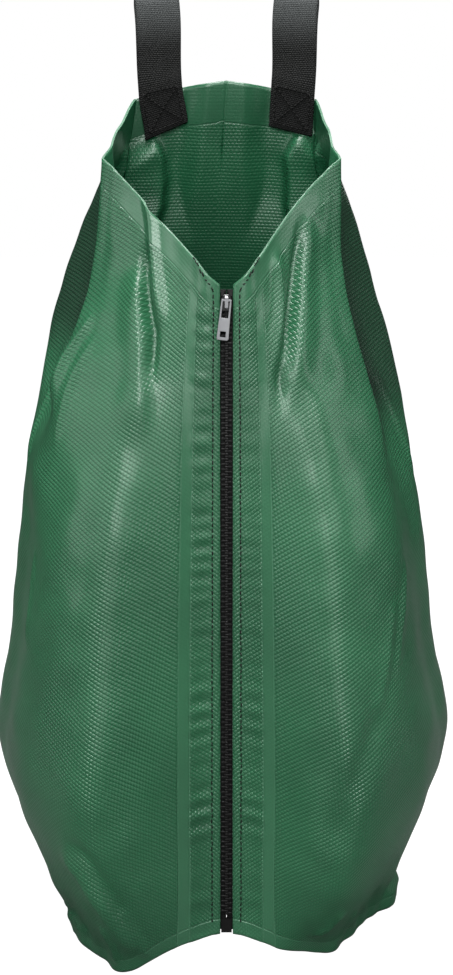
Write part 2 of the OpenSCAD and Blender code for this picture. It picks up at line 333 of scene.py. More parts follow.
def coatedFabric(name, look):
    def principled(tree):
        cells, welds, worn, woven, depth = fabricParts(tree, look)
        tone = ranged(tree, worn["Tone"], 0.3, 0.7)
        base = mixed(tree, tone, colour(*look["deep"]), colour(*look["green"]))
        # Painted highlight: pale dots along the weld borders, where the cut weave cells catch the light.
        borderHighlightDots = calc(tree, "MULTIPLY", welds["Border"], calc(tree, "MULTIPLY_ADD", cells["Cell"], 0.5, 0.15))
        # Paler rib crests and scuffs; the welded strips are paler partly in their own colour and partly as a
        # painted highlight in place of the weave's glints.
        for amount, share in ((woven, 0.18), (welds["Flat"], 0.26), (borderHighlightDots, 0.45), (worn["Scuff"], 0.06)):
            base = mixed(tree, calc(tree, "MULTIPLY", amount, share), base, colour(*look["pale"]))
        # Painted shade deep in the side pleats.
        base = mixed(tree, calc(tree, "MULTIPLY", depth, 0.96), base, colour(*pleatShadeTone))
        rough = calc(tree, "MULTIPLY_ADD", worn["Tone"], 0.10, look["rough"] - 0.05)
        rough = calc(tree, "SUBTRACT", rough, calc(tree, "MULTIPLY", welds["Flat"], 0.03))
        rough = calc(tree, "MULTIPLY_ADD", worn["Mottle"], 0.05, rough)
        rough = calc(tree, "MULTIPLY_ADD", depth, 0.12, rough)
        return {"Base Color": base, "Roughness": rough, "IOR": 1.5, "Coat Weight": 0.2, "Coat Roughness": 0.2}

    def bump(tree):
        cells, welds, worn, woven, depth = fabricParts(tree, look)
        height = calc(tree, "MULTIPLY", woven, look["rib"])
        height = calc(tree, "MULTIPLY_ADD", worn["Mottle"], 0.00006, height)
        height = calc(tree, "MULTIPLY_ADD", welds["Border"], -0.00035, height)
        return {"Height": height}

    return newMaterial(name, principled, bump)


outerFabric = coatedFabric("coatedFabricOuter", outerLook)
innerFabric = coatedFabric("coatedFabricInnerShaded", innerShadedLook)


def plainMaterial(name, tones, rough, height, fine=420.0, metallic=0.0, spread=0.08, **more):
    def principled(tree):
        worn = useGroup(tree, wear, {"Place": objectPlace(tree), "Broad": 40.0, "Fine": fine})
        base = mixed(tree, ranged(tree, worn["Tone"], 0.3, 0.7), colour(*tones[0]), colour(*tones[1]))
        base = mixed(tree, calc(tree, "MULTIPLY", worn["Scuff"], 0.25), base, colour(*tones[2]))
        uneven = calc(tree, "MULTIPLY_ADD", worn["Mottle"], spread, rough - spread / 2)
        return {"Base Color": base, "Roughness": uneven, "Metallic": metallic, **more}

    def bump(tree):
        worn = useGroup(tree, wear, {"Place": objectPlace(tree), "Broad": 40.0, "Fine": fine})
        return {"Height": calc(tree, "MULTIPLY", worn["Mottle"], height)}

    return newMaterial(name, principled, bump)


cutEdge = plainMaterial("coatedFabricCut", [(128, 168, 144), (104, 148, 122), (168, 196, 178)], 0.5, 0.00008)
thread = plainMaterial("blackThread", [(7, 8, 7), (12, 13, 12), (34, 36, 34)], 0.7, 0.00006, fine=900.0,
                       **{"Specular IOR Level": 0.3})
plastic = plainMaterial("zipperPlastic", [(9, 9, 9), (14, 14, 14), (40, 41, 41)], 0.4, 0.00004,
                        **{"Specular IOR Level": 0.35})
enamel = plainMaterial("sliderEnamel", [(14, 14, 15), (20, 20, 21), (60, 60, 62)], 0.22, 0.00002)
pullMetal = plainMaterial("pullMetal", [(138, 139, 142), (152, 153, 156), (98, 99, 102)], 0.38, 0.00003,
                          metallic=0.55)


# Narrow woven goods: ribs across a tape or a strap. A painted highlight makes a strap paler where it bends
# over; the last argument is how far along it that is, in metres.
def wovenStrip(name, tones, pitch, depth, rough, bendHighlightAt=0):
    def parts(tree):
        across, length = uvPair(tree, "Weave")
        worn = useGroup(tree, wear, {"Place": objectPlace(tree), "Broad": 30.0, "Fine": 700.0})
        cells = useGroup(tree, weave, {"Across": across, "Along": length,
                                       "Rib Pitch": pitch, "Cell Pitch": pitch * 1.5})
        return worn, cells

    def principled(tree):
        worn, cells = parts(tree)
        base = mixed(tree, cells["Height"], colour(*tones[0]), colour(*tones[1]))
        base = mixed(tree, calc(tree, "MULTIPLY", worn["Mottle"], 0.3), base, colour(*tones[2]))
        # Painted highlight round the strap's bend, where its top catches the light.
        if bendHighlightAt:
            _, length = uvPair(tree, "Weave")
            off = calc(tree, "ABSOLUTE", calc(tree, "SUBTRACT", length, bendHighlightAt))
            bend = ranged(tree, off, 0.005, 0.050, 0.75, 0.0)
            base = mixed(tree, bend, base, colour(86, 90, 90))
        return {"Base Color": base, "Roughness": calc(tree, "MULTIPLY_ADD", worn["Tone"], 0.1, rough),
                "Specular IOR Level": 0.16, "Sheen Weight": 0.02, "Sheen Roughness": 0.4}

    def bump(tree):
        worn, cells = parts(tree)
        height = calc(tree, "MULTIPLY", cells["Height"], depth)
        return {"Height": calc(tree, "MULTIPLY_ADD", worn["Mottle"], depth * 0.2, height)}

    return newMaterial(name, principled, bump)


webbing = wovenStrip("webbing", [(6, 7, 6), (19, 21, 20), (30, 32, 31)], 0.0016, 0.0006, 0.6, bendHighlightAt=0.115)
tapeCloth = wovenStrip("zipperTape", [(7, 8, 8), (14, 15, 15), (24, 25, 25)], 0.0009, 0.0001, 0.6)
print("stage: materials")


# Plan points [x, y] in mm of seven lines from the ground to the neck: weld strip, lobe crest,
# pleat edge, pleat bottom, widest line, rear corner and middle of the back.
levels = np.array([0, 60, 150, 250, 350, 440, 500, 560, 610, 650, 706]) * mm
lines = np.array([
    [[42, -157], [82, -151], [116, -100], [133, -50], [144, 0], [110, 95], [0, 135]],
    [[42, -163], [92, -177], [134, -116], [155, -58], [165, 5], [128, 115], [0, 162]],
    [[42, -152], [100, -184], [156, -124], [182, -62], [193, 5], [144, 132], [0, 183]],
    [[42, -137], [95, -160], [148, -112], [168, -58], [179, 8], [136, 130], [0, 178]],
    [[42, -119], [88, -130], [136, -92], [153, -46], [168, 14], [127, 122], [0, 165]],
    [[42, -99], [82, -94], [126, -56], [130, -16], [156, 40], [120, 112], [0, 149]],
    [[42, -78], [78, -62], [112, -36], [104, 0], [146, 60], [114, 106], [0, 136]],
    [[42, -55], [75, -33], [101, -10], [89, 14], [128, 70], [104, 99], [0, 123]],
    [[42, -44], [76, -19], [97, -2], [87, 14], [109, 64], [92, 96], [0, 113]],
    [[42, -42], [76, -14], [96, 2], [92, 18], [92, 48], [82, 92], [0, 106]],
    [[42, -42], [76, -12], [94, 3], [91, 18], [86, 44], [77, 88], [0, 99]]]) * mm
neckHem = np.array([545, 557, 584, 622, 640, 650, 664, 690, 706]) * mm
groundHem = np.array([38, 35, 27, 3, 0, 0, 0, 0, 0]) * mm
back = 8

# The zipper's straight line. Its lean comes from the frame; its foot and length repeat the CAD's.
slideAxis = -Vector(joints["zipper_slide"]["axis"])
zipLean = math.atan2(slideAxis.y, slideAxis.z)
zipFoot = Vector((0, -0.152, 0.038))
zipLength = 0.5125
recess, edgeX, placketX, placketStep = 3.7 * mm, 5 * mm, 18.7 * mm, 0.6 * mm
zipFrame = Matrix.Translation(zipFoot) @ Matrix.Rotation(-zipLean, 4, "X")


def planLines(z):
    nearby = np.arange(-20, 21, 5) * mm  # averaged over a short height, so that no level shows as a kink
    level = sum(np.interp(z + step, levels, np.arange(len(levels))) for step in nearby) / len(nearby)
    y = zipFoot.y + (z - zipFoot.z) * math.tan(zipLean) - recess
    flat = [np.stack([np.full_like(z, x), y - step], -1) for x, step in ((edgeX, 0), (placketX, placketStep))]
    return np.stack(flat + [along(lines[:, k], level) for k in range(lines.shape[1])], 0)


def halfOf(t):
    return np.where(t <= back, t, 2 * back - t)


# How sharply the cloth turns at its lines: crisp at the ears of the neck and down the pleats.
def creaseShare(s, z):
    ear = smooth((z - 0.60) / 0.05) * smooth((s - 3.0) / 0.6)
    pleat = smooth((z - 0.40) / 0.08) * smooth((s - 3.2) / 0.5) * smooth((6.2 - s) / 0.6)
    return np.clip(0.9 * ear + 0.75 * pleat * (1 - ear), 0, 0.9)


# A point of the bag for t round it (0 and 16 at the zipper, 8 at the back) and v up it (0 to 1).
def surface(t, v):
    s = halfOf(t)
    z = np.maximum(along(groundHem, s), 0) * (1 - v) + along(neckHem, s) * v
    half = planLines(z)
    ring = np.concatenate([half, half[-2::-1] * np.array([-1, 1])], 0)
    i = np.clip(np.floor(t).astype(int), 0, 2 * back - 1)

    def pick(j):
        return np.take_along_axis(ring, np.clip(j, 0, 2 * back)[None, ..., None].repeat(2, -1), 0)[0]

    p = cubic(pick(i - 1), pick(i), pick(i + 1), pick(i + 2), (t - i)[..., None])
    straight = pick(i) + (pick(i + 1) - pick(i)) * (t - i)[..., None]
    crisp = creaseShare(s, z)[..., None]
    p = p * (1 - crisp) + straight * crisp
    return np.stack([p[..., 0], p[..., 1], z], -1)


# The cloth leans a little to its left above the hem, as a hung bag does.
leanZ = np.array([0, 100, 180, 220, 270, 355, 440, 520, 560, 605, 650, 690, 710]) * mm
leanX = np.array([1, 4, 3, 4, 4.5, 4, 5, 8, 7, 5, 4, 1, 0]) * mm


def leaned(t, points):
    made = points.copy()
    made[..., 0] -= np.interp(points[..., 2], leanZ, leanX) * smooth((halfOf(t) - 1.2) / 1.8)
    return made


# Columns evenly spaced round the bag at about its widest, and even rows from hem to hem.
bag = {"columns": 361, "rows": 231, "thick": 0.8 * mm, "weld gap": 0.15 * mm, "chamber": 11.4 * mm,
       "broad waves": 1.0 * mm, "fine waves": 0.45 * mm, "hem waves": 0.7 * mm, "puckers": 0.55 * mm,
       "weave turn": 0.62, "weave top": 1.1, "weave stretch": 1.02}


def gridOf(size):
    fine = np.linspace(0, 2 * back, 1601)
    ring = surface(fine, np.full_like(fine, 0.35))
    arc = np.r_[0, np.cumsum(np.linalg.norm(np.diff(ring, axis=0), axis=1))]
    t = np.interp(np.linspace(0, arc[-1], size["columns"]), arc, fine)
    v = np.linspace(0, 1, size["rows"])
    return np.meshgrid(t, v)


def normalsOf(p):
    return unit(np.cross(np.gradient(p, axis=1), np.gradient(p, axis=0)))


# Distance of each point of the cloth, laid out as (arc, height), from a line on it.
def lineDistance(arc, z, path):
    path = np.asarray(path, float)
    best = np.full(arc.shape, 1e9)
    share = np.zeros(arc.shape)
    lengths = np.linalg.norm(np.diff(path, axis=0), axis=1)
    start = np.r_[0, np.cumsum(lengths)]
    for (a0, z0), (a1, z1), length, before in zip(path[:-1], path[1:], lengths, start):
        f = np.clip(((arc - a0) * (a1 - a0) + (z - z0) * (z1 - z0)) / length ** 2, 0, 1)
        d = np.hypot(arc - a0 - f * (a1 - a0), z - z0 - f * (z1 - z0))
        near = d < best
        best = np.where(near, d, best)
        share = np.where(near, (before + f * length) / start[-1], share)
    order = np.argsort(path[:, 1])
    outside = arc > np.interp(z, path[order, 1], path[order, 0])
    return best, share, outside


# A fold of the cloth. Points are (distance from the zipper edge along the cloth, height) in mm, widths
# are towards the zipper and away from it, and height is outwards.
def fold(side, widths, height, *path):
    return {"side": side, "widths": widths, "height": height, "path": path}


folds = [
    fold("left", (8, 5), 5.2, (122, 635), (113, 624), (100, 611), (92, 592), (85, 565), (75, 540),
         (67, 521), (66, 500)),
    fold("left", (5, 5), -6.5, (99, 576), (93, 559), (88, 545), (80, 526), (70, 508), (69, 495),
         (67, 460)),
    fold("left", (8, 17), 6.5, (96, 562), (93, 537), (87, 514), (80, 492), (74, 459), (70, 420)),
    fold("right", (10, 6), 4.2, (54, 572), (64, 554), (62, 529), (56, 504), (53, 463)),
    fold("right", (5, 6), -6.2, (106, 600), (96, 571), (83, 543), (72, 522), (60, 501), (49, 474),
         (45, 440)),
    fold("right", (7, 15), 5.4, (110, 600), (103, 576), (89, 529), (70, 485), (60, 450)),
    fold("left", (7, 6), -4.6, (143, 128), (115, 111), (94, 83), (69, 44), (59, 27)),
    fold("left", (6, 9), 4.2, (152, 116), (124, 95), (101, 70), (77, 35), (72, 20)),
    fold("right", (10, 12), -3.4, (134, 231), (120, 206), (108, 179), (99, 150), (84, 110)),
    fold("left", (3.5, 3.5), 2.4, (137, 522), (150, 486), (160, 462), (172, 440)),
    fold("left", (3, 4), 1.9, (127, 505), (139, 468), (149, 440), (160, 412)),
    fold("left", (4, 4), 2.5, (226, 500), (229, 460), (233, 420), (237, 380)),
    fold("left", (5, 5), 1.8, (190, 335), (196, 290), (199, 250)),
    fold("left", (4, 4), 3.2, (88, 74), (72, 46), (62, 18)),
    fold("left", (4, 5), 3.2, (107, 54), (96, 28), (92, 6)),
    fold("right", (4, 4), 2.5, (203, 475), (217, 447), (226, 419), (237, 398), (246, 368)),
    fold("right", (6, 5), 1.7, (150, 305), (140, 262), (127, 214)),
    fold("right", (5, 6), 1.8, (174, 330), (164, 290), (150, 240)),
    fold("right", (4, 4), 2.8, (102, 62), (86, 42), (68, 32)),
    fold("right", (5, 4), 3.2, (122, 52), (111, 24), (108, 4))]

# Creases of the inner sheet, running down from the sewn ends of the straps; height is inwards.
innerFolds = [
    fold("left", (34, 5), 12.0, (286, 664), (298, 652), (313, 639), (330, 621), (344, 600),
         (352, 570), (354, 540)),
    fold("left", (7, 5), 4.0, (262, 655), (272, 632), (281, 606), (285, 580)),
    fold("right", (30, 5), 11.0, (262, 664), (284, 654), (300, 640), (311, 622), (325, 600),
         (335, 570), (338, 540)),
    fold("right", (8, 4), 6.0, (246, 655), (260, 636), (272, 612), (280, 585))]


def foldHeight(chosen, side, arc, z):
    total = np.zeros(arc.shape)
    for one in chosen:
        d, share, outside = lineDistance(arc, z, np.array(one["path"]) * mm)
        near, away = (w * mm for w in one["widths"])
        width = np.where(outside, away, near)
        fade = smooth(share / 0.18) * smooth((1 - share) / 0.25)
        total += np.where(side == one["side"], one["height"] * mm * fade * np.exp(-(d / width) ** 2), 0)
    return total


# Gentle unevenness: waves between two lengths, summed, with seeded sizes, turns and phases.
def ripples(seed, count, arc, z, low, high, slant):
    dice = random.Random(seed)
    total = np.zeros(arc.shape)
    for _ in range(count):
        size = dice.uniform(low, high)
        turn = dice.gauss(*slant)
        k = 2 * math.pi / size
        total += np.sin(k * (arc * math.cos(turn) + z * math.sin(turn)) + dice.uniform(0, 6.283))
    return total / math.sqrt(count)


# Larger shifts of both sheets: the right lobe stands back at the ground, the left one swells over
# its pleat, and the hem sticks out a little at the sides.
def shifted(p, s, z, right):
    made = p.copy()
    setBack = smooth((0.10 - z) / 0.10) * smooth((s - 1.9) / 1.0) * smooth((5.4 - s) / 1.6) * right
    swell = 12 * np.exp(-((z - 0.470) / 0.035) ** 2) * np.exp(-((s - 4.15) / 0.6) ** 2)
    swell += 15 * np.exp(-((z - 0.400) / 0.045) ** 2) * np.exp(-((s - 4.9) / 0.75) ** 2)
    low = smooth((0.024 - z) / 0.010)
    made[..., 0] -= mm * swell * ~right
    made[..., 0] -= 6 * mm * low * smooth((s - 3.6) / 0.3) * smooth((4.6 - s) / 0.3) * ~right
    made[..., 0] += 7 * mm * low * smooth((s - 4.8) / 0.3) * smooth((6.2 - s) / 0.3) * right
    made[..., 1] += 24 * mm * setBack
    made[..., 2] = np.maximum(made[..., 2] + 3 * mm * setBack, 0)
    return made


def clothOf(size):
    t, v = gridOf(size)
    p = leaned(t, surface(t, v))
    step = np.linalg.norm(np.diff(p, axis=1), axis=2)
    run = np.concatenate([np.zeros((len(t), 1)), np.cumsum(step, axis=1)], 1)
    right = run <= run[:, -1:] / 2
    arc = np.minimum(run, run[:, -1:] - run)
    side = np.where(right, "right", "left")
    z, s = p[..., 2], halfOf(t)
    normal = normalsOf(p)
    bulk = smooth((s - 2.0) / 0.8)  # 0 on the flat strip beside the zipper
    lift = foldHeight(folds, side, arc, z) * smooth((arc - 0.030) / 0.014)
    lift += bag["broad waves"] * bulk * ripples(3, 9, arc, z, 0.09, 0.22, (0.35, 0.5))
    lift += bag["fine waves"] * bulk * ripples(5, 12, arc, z, 0.035, 0.07, (0.5, 0.6))
    strip = smooth((arc - 0.0062) / 0.004) * (1 - smooth((arc - 0.0225) / 0.004))
    pucker = ripples(8, 8, arc, z, 0.011, 0.024, (1.5, 0.12))
    gathered = 1 + 0.9 * np.exp(-((z - 0.39) / 0.08) ** 2) * ~right
    pucker = pucker * strip * gathered * smooth((0.56 - z) / 0.05) * np.where(right, 0.6, 1.0)
    lift += bag["puckers"] * pucker
    lift -= 0.6 * mm * np.exp(-((arc - 0.0305) / 0.0062) ** 4)
    lift -= 0.35 * mm * np.exp(-((arc - 0.0065) / 0.0015) ** 2)
    nearFloor = smooth((0.10 - z) / 0.10)
    lift += bag["hem waves"] * bulk * nearFloor * ripples(21, 10, arc, z, 0.022, 0.05, (0.15, 0.25))
    p = shifted(p + normal * lift[..., None], s, z, right)
    return t, v, p, arc, side, right


# Painted shade: where the cloth lies deep in a side pleat, its colour is painted darker and its gloss duller.
def foldShade(s, z, p):
    low = np.where(p[..., 0] < 0, 0.455, 0.40)
    share = np.clip((z - low) / (0.65 - low), 0, 1)
    wing = smooth((s - 4.02) / 0.12) * smooth((5.0 + 1.9 * share ** 0.3 - s) / 0.35)
    ends = smooth((z - low) / 0.06) * smooth((0.66 - z) / 0.012)
    return wing * (0.7 + 0.3 * smooth((5.6 - s) / 0.6)) * ends


def bagData(size):
    t, v, p, arc, side, right = clothOf(size)
    top = np.zeros(arc.shape)
    foot = np.zeros(arc.shape)
    for which in (right, ~right):
        for out, row in ((top, -1), (foot, 0)):
            keep = which[row]
            order = np.argsort(arc[row][keep])
            path = np.stack([arc[row][keep][order], p[row, :, 2][keep][order]], -1)[::4]
            d, _, _ = lineDistance(arc, p[..., 2], path)
            out[which] = d[which]
    z = p[..., 2]
    share = arc / arc.max(axis=1, keepdims=True)
    turn = bag["weave turn"] * (1 - share) * np.where(right, 1, -1)  # the weave fans out from the zipper
    reach = (bag["weave top"] - z) * bag["weave stretch"]
    # The Hem layer holds the distance from the ground hem and the painted pleat shade.
    uvs = {"Weave": np.stack([reach * np.sin(turn), -reach * np.cos(turn)], -1),
           "Seam": np.stack([arc, top], -1), "Hem": np.stack([foot, foldShade(halfOf(t), z, p)], -1)}
    return t, v, p, arc, uvs, right


def makeBag():
    t, v, p, arc, uvs, right = bagData(bag)
    normal = normalsOf(p)
    rows, cols = t.shape
    faces, kinds = shellFaces(rows, cols)
    both = {k: np.stack([u, u]) for k, u in uvs.items()}
    # The inner sheet gets no painted pleat shade.
    lining = {**both, "Hem": both["Hem"] * [1, 0]}
    thick = bag["thick"]
    skins = np.stack([p, p - normal * thick])
    outer = makeObject("outerFabric", skins, faces, [outerFabric, cutEdge], kinds, both)
    s = halfOf(t)
    mouth = smooth((s - 7.5) / 0.3)
    rise = 0.3 * smooth((s - 5.5) / 1.5)
    crown = 1 - smooth((v - 0.5 - rise) / 0.12)
    apart = smooth((s - 2.2) / 1.0) * smooth((v - 0.02) / 0.12) * np.maximum(crown, mouth)
    gap = bag["weld gap"] + bag["chamber"] * apart
    calm = leaned(t, surface(t, v))
    calm = shifted(calm, s, calm[..., 2], right)
    far = np.clip(gap / (8 * mm), 0, 1)[..., None]
    base = p * (1 - far) + calm * far
    inward = normalsOf(base)
    creased = foldHeight(innerFolds, np.where(right, "right", "left"), arc, p[..., 2])
    creased = creased * smooth((s - 5.6) / 0.6)
    near = base - inward * (thick + gap + creased)[..., None]
    skins = np.stack([near, near - inward * thick])
    inner = makeObject("innerFabric", skins, faces, [innerFabric, cutEdge], kinds, lining)
    for made, node in ((outer, "outer_panel"), (inner, "inner_panel")):
        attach(made, "bag")
        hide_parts(node)
    return outer, inner, (p, arc, normal)


outer, inner, cloth = makeBag()
print("stage: bag")


# Place and outward direction on the outer cloth, for a side, an arc and a height.
def onCloth(side, arc, z):
    p, arcs, normal = cloth
    rows, cols = arcs.shape
    order = np.arange(cols) if side == "right" else np.arange(cols)[::-1]
    pick = order[:cols // 2]
    row, col = 0.0, 0.0
    for _ in range(6):
        i = int(np.clip(round(row), 0, rows - 1))
        col = float(np.interp(arc, arcs[i, pick], pick))
        j = int(np.clip(round(col), 0, cols - 1))
        row = float(np.interp(z, p[:, j, 2], np.arange(rows)))
    i, j = min(int(row), rows - 2), min(int(col), cols - 2)
    f, g = row - i, col - j

    def blend(a):
        lower, upper = (a[k, j] * (1 - g) + a[k, j + 1] * g for k in (i, i + 1))
        return lower * (1 - f) + upper * f

    return blend(p), unit(blend(normal))


# Running stitches beside the zipper, which turn up along the neck.
stitchRow = {"arc": 6.5 * mm, "long": 3.0 * mm, "step": 4.4 * mm, "thick": 0.5 * mm, "wander": 0.25 * mm,
             "above foot": 9 * mm, "top": 538 * mm, "neck z": 540.5 * mm, "neck count": 8,
             "neck across": 3.4 * mm, "neck rise": 3.6 * mm, "neck long": 0.62}


def stitchAt(start, end, normal, thick, sink=0.5 * mm):
    path = []
    for f in np.linspace(0, 1, 6):
        arch = math.sin(math.pi * f) ** 0.5
        path.append(start + (end - start) * f + normal * (arch * thick * 1.1 - sink * (1 - arch)))
    return tube(path, thick, 6)


def makeZipperStitches(side, node):
    parts = []
    dice = random.Random(node)
    row = stitchRow
    z = zipFoot.z + row["above foot"]
    while z < row["top"]:
        start, end = (row["arc"] + dice.uniform(-1, 1) * row["wander"] for _ in range(2))
        a, n = onCloth(side, start, z)
        b, _ = onCloth(side, end, z + row["long"])
        parts.append(stitchAt(a, b, n, row["thick"]))
        z += row["step"]
    for i in range(row["neck count"]):
        (a, n), (b, _) = (onCloth(side, row["arc"] + f * row["neck across"],
                                  row["neck z"] + f * row["neck rise"]) for f in (i, i + row["neck long"]))
        parts.append(stitchAt(a, b, n, row["thick"]))
    points, faces = joined(parts)
    made = makeObject("stitches_zipper_" + side, points, faces, [thread])
    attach(made, "bag")
    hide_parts(node)


makeZipperStitches("right", "zipper_stitching_right")
makeZipperStitches("left", "zipper_stitching_left")
print("stage: stitches")

chain = {"width": 8.4 * mm, "pitch": 4 * mm, "foot": 14 * mm, "below top": 16 * mm, "tape": 11 * mm,
         "tape thick": 0.6 * mm, "tape rows": 200, "tape cols": 9}


# One moulded tooth, from a cross section (x, y) lofted over a few heights with rounded rims.
def toothShape():
    outline = [(-1.65, -0.9), (-1.1, -1.42), (0.6, -1.5), (1.5, -1.2), (2.6, -0.95), (4.15, -0.8),
               (4.15, 0.8), (2.6, 0.95), (1.5, 1.2), (0.6, 1.5), (-1.1, 1.42), (-1.65, 0.9)]
    heights = [(0.05, 0.82), (0.3, 0.97), (0.75, 1.0), (1.15, 1.0), (1.6, 0.97), (1.85, 0.82)]
    points, faces, n = [], [], len(outline)
    for h, grow in heights:
        points += [((x - 1) * grow + 1, y * grow, h) for x, y in outline]
    for i in range(len(heights) - 1):
        for j in range(n):
            k = (j + 1) % n
            faces.append((i * n + j, i * n + k, (i + 1) * n + k, (i + 1) * n + j))
    faces.append(tuple(range(n))[::-1])
    faces.append(tuple(range((len(heights) - 1) * n, len(heights) * n)))
    return np.array(points) * mm, faces


def inZipper(points, mirror=False):
    points = np.array(points, float)
    if mirror:
        points[:, 0] *= -1
    turned = np.array(zipFrame)
    return points @ turned[:3, :3].T + turned[:3, 3]


def flipped(faces, mirror):
    return [tuple(f)[::-1] for f in faces] if mirror else faces


def makeTeeth(side):
    mirror = side == "left"
    shape, faces = toothShape()
    count = int((zipLength - chain["below top"] - chain["foot"]) // chain["pitch"])
    start = chain["foot"] + (chain["pitch"] / 2 if mirror else 0)
    parts = [(shape + [0, 0, start + i * chain["pitch"]], faces) for i in range(count)]
    points, faces = joined(parts)
    points, faces = inZipper(points, mirror), flipped(faces, mirror)
    made = makeObject("teeth_" + side, points, faces, [plastic], sharp=True)
    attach(made, "bag")
    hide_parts("zipper_teeth_" + side)


def makeTape(side):
    mirror = side == "left"
    rows, cols = chain["tape rows"], chain["tape cols"]
    x = np.linspace(0.25 * mm, chain["width"] / 2 + chain["tape"], cols)
    z = np.linspace(2 * mm, zipLength - 4 * mm, rows)
    X, Z = np.meshgrid(x, z)
    Y = 0.18 * mm * np.sin(Z / (9 * mm)) * (X - x[0]) / (x[-1] - x[0])
    near, far = (np.stack([X, Y + sign * chain["tape thick"] / 2, Z], -1) for sign in (-1, 1))
    faces, _ = shellFaces(rows, cols)
    uv = np.stack([np.stack([X, Z], -1)] * 2)
    points = inZipper(np.stack([near, far]).reshape(-1, 3), mirror)
    made = makeObject("tape_" + side, points, flipped(faces, mirror), [tapeCloth], None, {"Weave": uv})
    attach(made, "bag")
    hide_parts("zipper_tape_" + side)


for side in ("right", "left"):
    makeTeeth(side)
    makeTape(side)


# Solid pieces with rounded edges: an outline in mm, with any holes, extruded and bevelled.
def rounded(name, outline, thick, bevel, material, place, holes=()):
    work = bmesh.new()
    loops = []
    for ring in (outline, *holes):
        verts = [work.verts.new((x * mm, y * mm, 0)) for x, y in ring]
        loops += [work.edges.new((verts[i], verts[(i + 1) % len(verts)])) for i in range(len(verts))]
    bmesh.ops.triangle_fill(work, edges=loops, use_beauty=True)
    inside = [e for e in work.edges if len(e.link_faces) == 2]
    bmesh.ops.dissolve_limit(work, angle_limit=0.01, verts=work.verts, edges=inside)
    made = bmesh.ops.extrude_face_region(work, geom=list(work.faces))
    for v in (g for g in made["geom"] if isinstance(g, bmesh.types.BMVert)):
        v.co.z += thick * mm
    bmesh.ops.recalc_face_normals(work, faces=work.faces)
    mesh = bpy.data.meshes.new(name)
    work.to_mesh(mesh)
    work.free()
    mesh.materials.append(material)
    thing = bpy.data.objects.new(name, mesh)
    bpy.context.scene.collection.objects.link(thing)
    if bevel:
        soft = thing.modifiers.new("soft", "BEVEL")
        soft.width = bevel * mm
        soft.segments = 3
        soft.limit_method = "ANGLE"
        soft.angle_limit = math.radians(40)
    thing.matrix_world = place
    return thing


# Outline x, y becomes x, z and the thickness goes to -y.
upright = Matrix.Rotation(math.pi / 2, 4, "X")

# Sizes in mm, in the zipper's own axes: x across, y into the bag, z up the chain.
slider = {
    "foot": (zipLength - chain["below top"]) * 1000 - 5, "plate thick": 1.1, "front y": -1.75, "rear y": 2.85,
    "plate": [(-3.3, 0), (3.3, 0), (4.7, 3.2), (4.6, 7.6), (2.9, 12.2),
              (1.6, 13), (-1.6, 13), (-2.9, 12.2), (-4.6, 7.6), (-4.7, 3.2)],
    "wedge": [(-0.6, 9.6), (0.6, 9.6), (1.2, 12.8), (-1.2, 12.8)], "wedge thick": 3.6, "wedge y": 1.8,
    "arch": [(1.5, 2.9), (2.6, 5.0), (10.2, 5.0), (12, 2.9), (12, 2.85), (10.6, 2.9), (9.6, 4.0),
             (3.6, 4.0), (3.1, 2.9)], "arch wide": 2.6}
pull = {
    "y": -3.15, "above foot": 8.5, "long": 31, "thick": 1.6, "top": 0.7, "half top": 3.9, "half foot": 4.7,
    "window": (2.7, -13.8, -0.9), "slit": (2.15, -28.6, -24.3), "skew": 6}


def sliderPlace(y, z):
    return zipFrame @ Matrix.Translation(Vector((0, y, z)) * mm) @ upright


def makeSlider():
    foot, thick = slider["foot"], slider["plate thick"]
    front = rounded("slider_body_front", slider["plate"], thick, 0.45, enamel,
                    sliderPlace(slider["front y"], foot))
    rear = rounded("slider_body_rear", slider["plate"], thick, 0.45, enamel,
                   sliderPlace(slider["rear y"], foot))
    wedge = rounded("slider_wedge", slider["wedge"], slider["wedge thick"], 0.2, enamel,
                    sliderPlace(slider["wedge y"], foot))
    turn = zipFrame @ Matrix.Translation(Vector((slider["arch wide"] / 2, 0, foot)) * mm)
    sideways = Matrix(((0, 0, -1, 0), (0, -1, 0, 0), (1, 0, 0, 0), (0, 0, 0, 1)))
    bridge = rounded("slider_bridge", slider["arch"], slider["arch wide"], 0.3, pullMetal, turn @ sideways)
    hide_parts("slider_body")
    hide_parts("slider_bridge")
    for made in (front, rear, wedge, bridge):
        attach(made, "slider")


def makePull():
    top, foot, low = pull["half top"], pull["half foot"], -pull["long"]
    outline = [(-top, pull["top"]), (top, pull["top"]), (foot, low + 1), (foot - 1, low),
               (1 - foot, low), (-foot, low + 1)]
    holes = [[(-half, z0), (half, z0), (half, z1), (-half, z1)]
             for half, z0, z1 in (pull["window"], pull["slit"])]
    place = zipFrame @ Matrix.Translation(Vector((0, pull["y"], slider["foot"] + pull["above foot"])) * mm)
    place = place @ Matrix.Rotation(math.radians(pull["skew"]), 4, "Y") @ upright
    tab = rounded("pull_tab", outline, pull["thick"], 0.35, pullMetal, place, holes)
    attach(tab, "pull")
    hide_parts("pull_tab")


makeSlider()
makePull()
for node in ("top_stop_left", "top_stop_right", "insertion_pin", "retainer_box"):
    for holder in nodes[node].material_slots:
        holder.material = plastic
print("stage: zipper")

# Each strap is one piece of webbing, doubled and sewn below the hem. Lengths are in mm.
strap = {"x": 54, "y": 89.5, "z": 703.4, "yaw": 11, "roll": 3, "lean": 12, "width": 38, "thick": 1.4,
         "high": 74, "tail": 38, "bend": 5, "clear": 2.4, "rows": 150, "cols": 21, "turn": 4}


def strapFrame(sign):
    place = Matrix.Translation(Vector((sign * strap["x"], strap["y"], strap["z"])) * mm)
    place = place @ Matrix.Rotation(math.radians(-sign * strap["yaw"]), 4, "Z")
    return place @ Matrix.Rotation(math.radians(sign * strap["roll"]), 4, "Y")


